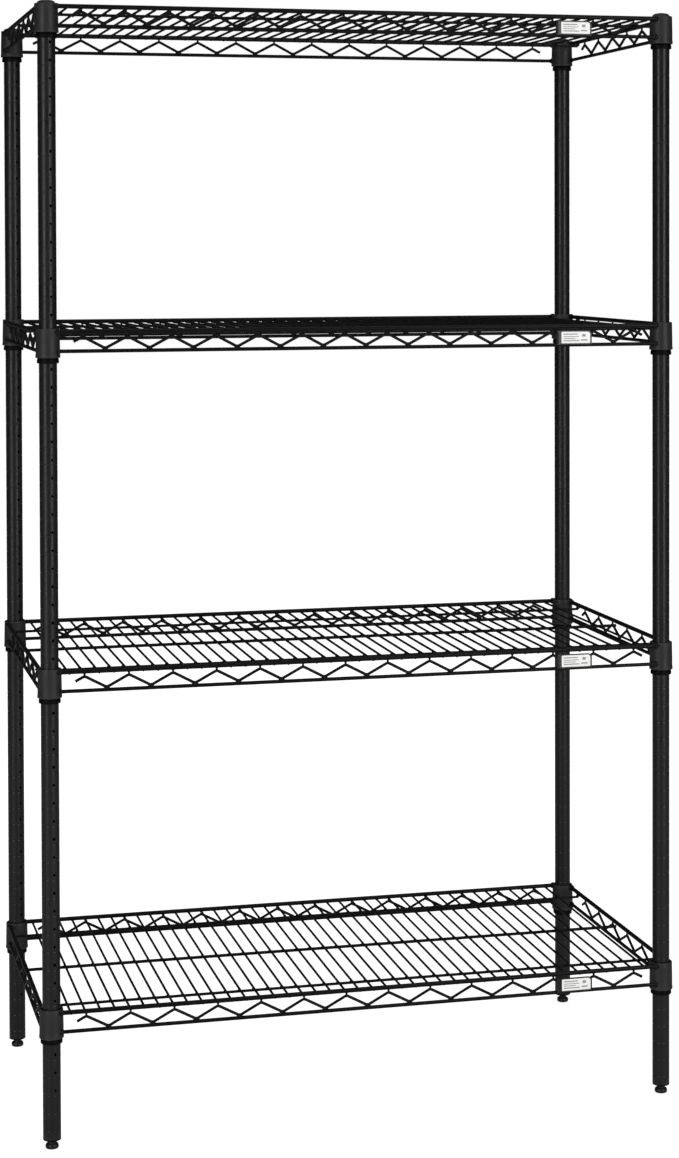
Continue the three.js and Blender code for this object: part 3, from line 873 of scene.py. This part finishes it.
# %% [markdown]
# The rim and lower wires run on into the collars and stop at the bore, so they are made long
# and then cut by a cone the size of the bore, with a boolean. The collar is a short tapered
# ring with a slightly flared lower rim, thinner at the top where the sleeve is narrowest.

# %% Collars and the wires that enter them
COLLAR = [(15.75, -36.3, 0.3), (17.1, -36.5, 0.8), (17.45, -36.0, 0.9), (17.5, -34.9, 0.5),
          (17.45, -32.9, 0.1), (17.1, -31.4, 0.05), (17.05, -20.0, 0.0), (16.75, -6.0, 0.0),
          (16.6, 3.1, 0.3), (16.35, 4.1, 0.9), (15.7, COLLAR_TOP, 1.0), (14.9, 4.35, 0.8),
          (14.45, 3.6, 0.4), (14.75, -8.0, 0.1), (15.2, -22.0, 0.1)]
CORNER_XY = [(sx * HALF_X, sy * HALF_Y) for sy in (-1, 1) for sx in (-1, 1)]


def cut_by_bores(mesh):
    """Takes the four collar bores out of wires that run into them."""
    cone = [(0, -60, 0), (15.95, -60, 0), (14.35, 30, 0), (0, 30, 0)]
    bores = joined("bores", [turned("bore", cone, FINISH["wire"], sides=32, at=at) for at in CORNER_XY])
    cutter = bpy.data.objects.new("bores", bores)
    target = bpy.data.objects.new("wires", mesh)
    for thing in (cutter, target):
        bpy.context.scene.collection.objects.link(thing)
    cut = target.modifiers.new("cut", "BOOLEAN")
    cut.operation, cut.solver, cut.object = "DIFFERENCE", "EXACT", cutter
    bpy.context.view_layer.update()
    graph = bpy.context.evaluated_depsgraph_get()
    made = bpy.data.meshes.new_from_object(target.evaluated_get(graph))
    bpy.data.objects.remove(cutter)
    bpy.data.objects.remove(target)
    made.set_sharp_from_angle(angle=math.radians(60))
    return made


entering = []
for z, r in ((0, RIM_R), (-TRUSS_H, LOWER_R)):
    long_x, long_y = 2 * (HALF_X - 2), 2 * (HALF_Y - 2)
    entering.append(rods(2, (0, -RIM_Y, z), (0, 2 * RIM_Y, 0), ALONG_X, long_x, r, sides=16))
    entering.append(rods(2, (-RIM_X, 0, z), (2 * RIM_X, 0, 0), ALONG_Y, long_y, r, sides=16))
edge_wires = joined("edge_wires", [cut_by_bores(wire_row) for wire_row in entering])
collars = [turned("collar", COLLAR, FINISH["collar"], sides=56, at=at) for at in CORNER_XY]
print("edge wires", len(edge_wires.polygons), "faces, collar", len(collars[0].polygons))

# %% [markdown]
# The zigzags on the front and back have a crest under every third deck wire, held to the rim
# by a short upright tie. Those on the sides have six crests and sit a little towards the front.
# At each end a free half-leg hangs past the last crest. Each truss is described by three
# numbers, so one loop builds both sides of the shelf.

# %% Trusses, braces and welds of the frame
FRONT = {"crests": 14, "pitch": 63.0, "shift": 0.0}
SIDE = {"crests": 6, "pitch": 66.0, "shift": -17.6}
TIE_R, TIE_LENGTH, TIE_Z = 1.55, 6.2, -4.6
COLLAR_R, WIRE_OUT = 17.0, 11.7
ENTRY = math.sqrt(COLLAR_R ** 2 - WIRE_OUT ** 2) + 0.8  # from a post's centre to where a wire goes in
ENTRY_X, ENTRY_Y = HALF_X - ENTRY, HALF_Y - ENTRY
CREST_WELD_Z, TROUGH_WELD_Z, BRACE_WELD_Z = -3.1, -24.4, -4.2


def first_crest(truss):
    """Where the first crest is along a truss, from the middle of the shelf."""
    return truss["shift"] - (truss["crests"] - 1) / 2 * truss["pitch"]


along_front, along_side = (FRONT["pitch"], 0, 0), (0, SIDE["pitch"], 0)
front_start, side_start = first_crest(FRONT), first_crest(SIDE)
parts = [edge_wires, *collars]
for s in (-1, 1):
    y, x = s * RIM_Y, s * RIM_X
    parts += [
        zigzag(FRONT["crests"], FRONT["pitch"], "x", y),
        zigzag(SIDE["crests"], SIDE["pitch"], "y", x, shift=SIDE["shift"]),
        rods(FRONT["crests"], (front_start, y, TIE_Z), along_front, ALONG_Z, TIE_LENGTH, TIE_R, sides=10),
        rods(SIDE["crests"], (x, side_start, TIE_Z), along_side, ALONG_Z, TIE_LENGTH, TIE_R, sides=10),
        rods(1, (0, s * EDGE_BRACE_Y, BRACE_Z), (0, 0, 0), ALONG_X, 2 * RIM_X, EDGE_BRACE_R),
        welds(FRONT["crests"] - 1, (front_start + FRONT["pitch"] / 2, y, TROUGH_WELD_Z), along_front,
              (4.6, 2.2, 1.9), seed=11 + s),
        welds(SIDE["crests"] - 1, (x, side_start + SIDE["pitch"] / 2, TROUGH_WELD_Z), along_side,
              (2.2, 4.6, 1.9), seed=21 + s),
        welds(FRONT["crests"], (front_start, y, CREST_WELD_Z), along_front, (2.3, 2.2, 1.5)),
        welds(2, (-RIM_X, s * EDGE_BRACE_Y, BRACE_WELD_Z), (2 * RIM_X, 0, 0), (3.4, 3.0, 2.6), seed=31 + s)]
    for z, r in ((0, RIM_R), (-TRUSS_H, LOWER_R)):
        parts += [
            welds(2, (-ENTRY_X, y, z), (2 * ENTRY_X, 0, 0), (5.4, r + 1.0, r + 1.5), seed=41 + s),
            welds(2, (-RIM_X, s * ENTRY_Y, z), (2 * RIM_X, 0, 0), (r + 1.0, 5.4, r + 1.5), seed=51 + s)]
shelf_frame = joined("shelf_frame", parts)
print("shelf frame", len(shelf_frame.polygons), "faces")

# %% [markdown]
# The deck is 42 thin wires from front to back, 21 mm apart, welded to three braces and butted
# against the rims. Modelling one and using an Array modifier would give a perfect comb, so the
# row comes from the tree, which moves each wire by a fraction of a millimetre.

# %% The deck
DECK_STOP = 1.9  # from the rim wire's middle to a deck wire's end
deck_length = 2 * (RIM_Y - DECK_STOP)
deck_step = (DECK_PITCH, 0, 0)
deck_parts = [
    rods(DECK_COUNT, (FIRST_DECK, 0, DECK_Z), deck_step, ALONG_Y, deck_length, DECK_R, jitter=0.35, seed=7),
    rods(1, (0, 0, BRACE_Z), (0, 0, 0), ALONG_X, 2 * RIM_X, BRACE_R)]
for i, y in enumerate((-EDGE_BRACE_Y, 0, EDGE_BRACE_Y)):
    at_brace = (FIRST_DECK, y, BRACE_WELD_Z)
    deck_parts.append(welds(DECK_COUNT, at_brace, deck_step, (2.1, 2.4, 1.5), seed=60 + i))
for i, y in enumerate((-RIM_Y + 2.2, RIM_Y - 2.2)):
    at_rim = (FIRST_DECK, y, -2.4)
    deck_parts.append(welds(DECK_COUNT, at_rim, deck_step, (2.1, 1.9, 1.6), seed=70 + i))
shelf_deck = joined("shelf_deck", deck_parts)
print("shelf deck", len(shelf_deck.polygons), "faces")

# %% [markdown]
# A shelf leaves the welding jig the same every time, so all four are copies of one frame and one
# deck. A mesh is copied and moved, instead of an object, so that every piece keeps its place in
# its own mesh and rides on its own shelf body when the shelf is lifted.

# %% The four shelves
for tier in TIERS:
    up = (0, 0, RIM_Z[tier])
    for part, welded in (("frame", shelf_frame), ("deck", shelf_deck)):
        mesh = joined(f"{part}_{tier}", [welded], up)
        mesh.set_sharp_from_angle(angle=math.radians(50))
        show(f"wire_{part}_{tier}", mesh, f"shelf_{tier}", "wire_black", f"shelf_{tier}_{part}")
print("shelves placed")

# %% [markdown]
# ## Sleeves
# Each collar rests on a sleeve in two halves that clip round the post. It is a cone that
# grows downwards, so the collar wedges tighter as the shelf is loaded, and it ends in a lip
# that shows under the collar. Each half is a part turn of the same profile, with closed ends.

# %% Sleeve halves
SLEEVE = [(13.05, 0.3, 0.0), (14.6, 0.0, 0.4), (15.2, 0.15, 0.7), (15.5, 0.8, 0.9), (15.5, 4.6, 0.7),
          (15.3, 5.4, 0.4), (14.95, 5.9, 0.0), (14.9, 7.0, 0.0), (14.4, 22.0, 0.0), (13.8, 44.8, 0.3),
          (13.55, 45.6, 0.6), (13.05, 45.6, 0.3)]
SLEEVE_DROP = 44.1  # from the rim wire's middle down to the sleeve's lower end
HALF_STARTS, HALF_SWEEP = {"rear": 4, "front": 184}, 172
for tier in TIERS:
    low = RIM_Z[tier] - SLEEVE_DROP
    profile = [(r, low + z, rub) for r, z, rub in SLEEVE]
    for corner in CORNERS:
        at = (POST_AT[corner].x, POST_AT[corner].y)
        for half, begin in HALF_STARTS.items():
            mesh = turned(f"sleeve_{half}", profile, FINISH["sleeve"], sides=22, start_deg=begin,
                          sweep_deg=HALF_SWEEP, at=at)
            show(f"taper_sleeve_{tier}_{corner}_{half}", mesh, "posts", "sleeve_black",
                 f"sleeve_{tier}_{corner}_{half}")
print("sleeve half", len(mesh.polygons), "faces")

# %% [markdown]
# ## Labels
# Near the right end of each front truss a dark plastic holder clips on, with a pale card in
# it. The holder is a flat tray with a raised border and a wider grip at its left end. The
# outline of each is a rounded rectangle, so one helper makes both: it fills the outline, gives
# it thickness and bevels the front edge.

# %% Label plates
def rounded_outline(x0, x1, z0, z1, radii, steps=5):
    """Corner points of a rounded rectangle; radii are for the lower right, upper right,
    upper left and lower left corners."""
    corners = [(x1, z0, -90), (x1, z1, 0), (x0, z1, 90), (x0, z0, 180)]
    signs = [(-1, 1), (-1, -1), (1, -1), (1, 1)]
    points = []
    for (x, z, begin), (sx, sz), r in zip(corners, signs, radii):
        for k in range(steps + 1):
            t = math.radians(begin + 90 * k / steps)
            points.append((x + sx * r + r * math.cos(t), z + sz * r + r * math.sin(t)))
    return points


def plate(name, outline, back, front, material, bevel=0.3, window=None):
    """A plate standing in XZ between two Y planes, with a window if one is given."""
    work = bmesh.new()
    loops = [outline] + ([window] if window else [])
    edges = []
    for loop in loops:
        ring = [work.verts.new(Vector((x, back, z)) * MM) for x, z in loop]
        edges += [work.edges.new((ring[i], ring[(i + 1) % len(ring)])) for i in range(len(ring))]
    bmesh.ops.triangle_fill(work, edges=edges, use_beauty=True)
    flat = list(work.faces)
    made = bmesh.ops.extrude_face_region(work, geom=flat)
    moved = [v for v in made["geom"] if isinstance(v, bmesh.types.BMVert)]
    bmesh.ops.translate(work, verts=moved, vec=Vector((0, front - back, 0)) * MM)
    bmesh.ops.recalc_face_normals(work, faces=work.faces)
    rim = [e for e in work.edges if len(e.link_faces) == 2 and e.calc_face_angle(0) > 1.2
           and all(abs(v.co.y - front * MM) < 1e-7 for v in e.verts)]
    bmesh.ops.bevel(work, geom=rim, offset=bevel * MM, segments=2, profile=0.6, affect="EDGES")
    card = work.loops.layers.uv.new("card")
    x0, x1 = min(p[0] for p in outline), max(p[0] for p in outline)
    z0, z1 = min(p[1] for p in outline), max(p[1] for p in outline)
    for face in work.faces:
        for loop in face.loops:
            co = loop.vert.co / MM
            loop[card].uv = ((co.x - x0) / (x1 - x0), (co.z - z0) / (z1 - z0))
    mesh = bpy.data.meshes.new(name)
    work.to_mesh(mesh)
    work.free()
    rub = [0.7 if abs(v.co.y - front * MM) < 4e-4 else 0.1 for v in mesh.vertices]
    mesh.attributes.new("wear", "FLOAT", "POINT").data.foreach_set("value", rub)
    mesh.materials.append(material)
    return tidy_mesh(mesh, 45)


for tier in TIERS:
    low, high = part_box(f"label_{tier}")
    x0, x1, z0, z1 = low.x / MM, high.x / MM, low.z / MM, high.z / MM
    back, front = high.y / MM, low.y / MM
    outer = rounded_outline(x0, x1, z0, z1, (1.5, 5.5, 1.5, 1.5))
    inner = rounded_outline(x0 + 8.0, x1 - 2.0, z0 + 2.0, z1 - 1.6, (1.0, 4.2, 1.0, 1.0))
    tray = plate(f"tray_{tier}", outer, back, front, FINISH["holder"], window=inner)
    floor_of_tray = plate(f"tray_back_{tier}", outer, back + 0.6, back - 0.05, FINISH["holder"], bevel=0.1)
    holder = joined(f"holder_{tier}", [tray, floor_of_tray])
    show(f"label_holder_{tier}", holder, f"shelf_{tier}", "sleeve_black", f"label_{tier}")
    pale = rounded_outline(x0 + 8.2, x1 - 2.2, z0 + 2.2, z1 - 1.8, (0.9, 4.0, 0.9, 0.9))
    card = plate(f"card_{tier}", pale, back - 0.1, back - 0.7, FINISH["card"], bevel=0.1)
    show(f"label_card_{tier}", card, f"shelf_{tier}", "label_white")
print("label faces", len(tray.polygons))

# %% [markdown]
# ## Floor and light
# The rack stands on a pale, matt floor in a white room. Large soft lights at the front left and
# right give each round post its two upright highlights, and one overhead fills the decks.

# %% Floor
floor_material = bpy.data.materials.new("pale_floor")
floor_material.use_nodes = True
floor_tree = floor_material.node_tree
floor_shader = floor_tree.nodes["Principled BSDF"]
floor_shader.inputs["Specular IOR Level"].default_value = 0.1
floor_shader.inputs["Roughness"].default_value = 0.85
floor_spot = place(floor_tree, "ShaderNodeTexCoord", -900, 0)
floor_grain = place(floor_tree, "ShaderNodeTexNoise", -600, 0, {"Scale": 3.0, "Detail": 5.0})
floor_tone = place(floor_tree, "ShaderNodeMix", -300, 0, {6: (0.86, 0.86, 0.86, 1), 7: (0.9, 0.9, 0.9, 1)},
                   data_type="RGBA")
floor_glow = place(floor_tree, "ShaderNodeEmission", 100, -300)
floor_far = place(floor_tree, "ShaderNodeVectorMath", -400, -150, operation="LENGTH")
floor_rise = place(floor_tree, "ShaderNodeMapRange", -200, -150,
                   {"From Min": 0.8, "From Max": 2.4, "To Min": 0.88, "To Max": 1.0})
floor_seen = place(floor_tree, "ShaderNodeMixShader", 300, -300)
floor_none = place(floor_tree, "ShaderNodeEmission", 100, -450, {"Strength": 0.0})
floor_sum = place(floor_tree, "ShaderNodeAddShader", 500, 0)
floor_ray = place(floor_tree, "ShaderNodeLightPath", -100, -300)
chain(floor_tree,
      (floor_spot, "Object", floor_grain, "Vector"), (floor_spot, "Object", floor_far, 0),
      (floor_far, "Value", floor_rise, "Value"), (floor_rise, "Result", floor_glow, "Strength"),
      (floor_grain, "Fac", floor_tone, 0), (floor_tone, 2, floor_shader, "Base Color"),
      (floor_ray, "Is Camera Ray", floor_seen, 0), (floor_none, 0, floor_seen, 1),
      (floor_glow, 0, floor_seen, 2), (floor_shader, 0, floor_sum, 0), (floor_seen, 0, floor_sum, 1))
link(floor_tree, floor_sum.outputs[0], floor_tree.nodes["Material Output"].inputs["Surface"])
floor_mesh = bpy.data.meshes.new("floor")
FLOOR_HALF, FLOOR_Z = 14.0, -0.0002
floor_corners = [(x * FLOOR_HALF, y * FLOOR_HALF, FLOOR_Z) for x, y in ((-1, -1), (1, -1), (1, 1), (-1, 1))]
floor_mesh.from_pydata(floor_corners, [], [(0, 1, 2, 3)])
floor_mesh.materials.append(floor_material)
floor = bpy.data.objects.new("floor", floor_mesh)
bpy.context.scene.collection.objects.link(floor)
floor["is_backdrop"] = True
print("floor", 2 * FLOOR_HALF, "m square")

# %% [markdown]
# The room is plain white where the camera sees it and almost dark where the steel reflects it.
# A white room all round would turn glossy black steel grey, so the three soft lights are left
# to shape it: two tall boxes in front draw lines down the tubes, and a wide one lights the top.

# %% Lights
world = bpy.data.worlds.new("white_room")
bpy.context.scene.world = world
world.use_nodes = True
room = world.node_tree
room.nodes.clear()
path_kind = place(room, "ShaderNodeLightPath", -400, 300)
seen = place(room, "ShaderNodeBackground", -200, 100, {"Color": (1, 1, 1, 1), "Strength": 1.0})
unseen = place(room, "ShaderNodeBackground", -200, -100, {"Color": (1, 1, 1, 1), "Strength": 0.02})
choose = place(room, "ShaderNodeMixShader", 0, 0)
sky = place(room, "ShaderNodeOutputWorld", 200, 0)
chain(room,
      (path_kind, "Is Camera Ray", choose, 0), (unseen, 0, choose, 1), (seen, 0, choose, 2),
      (choose, 0, sky, 0))


def soft_light(name, at, aim, width, height, power):
    """A rectangular softbox aimed at a point."""
    data = bpy.data.lights.new(name, "AREA")
    data.shape, data.size, data.size_y, data.energy = "RECTANGLE", width, height, power
    light = bpy.data.objects.new(name, data)
    light.location = at
    light.rotation_euler = (Vector(aim) - Vector(at)).to_track_quat("-Z", "Y").to_euler()
    bpy.context.scene.collection.objects.link(light)


soft_light("front_left_box", (-3.6, -3.2, 1.75), (0, 0, 0.8), 0.9, 3.4, 48)
soft_light("front_right_box", (2.2, -4.0, 1.75), (0, 0, 0.8), 0.8, 3.4, 46)
soft_light("overhead_box", (0, 0.2, 5.2), (0, 0, 0), 6.0, 6.0, 75)
bpy.context.scene.view_settings.view_transform = "Standard"

# %% Size of the visual model
low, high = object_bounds()
print("visual box (m):", [round(v, 4) for v in (*low, *high)])
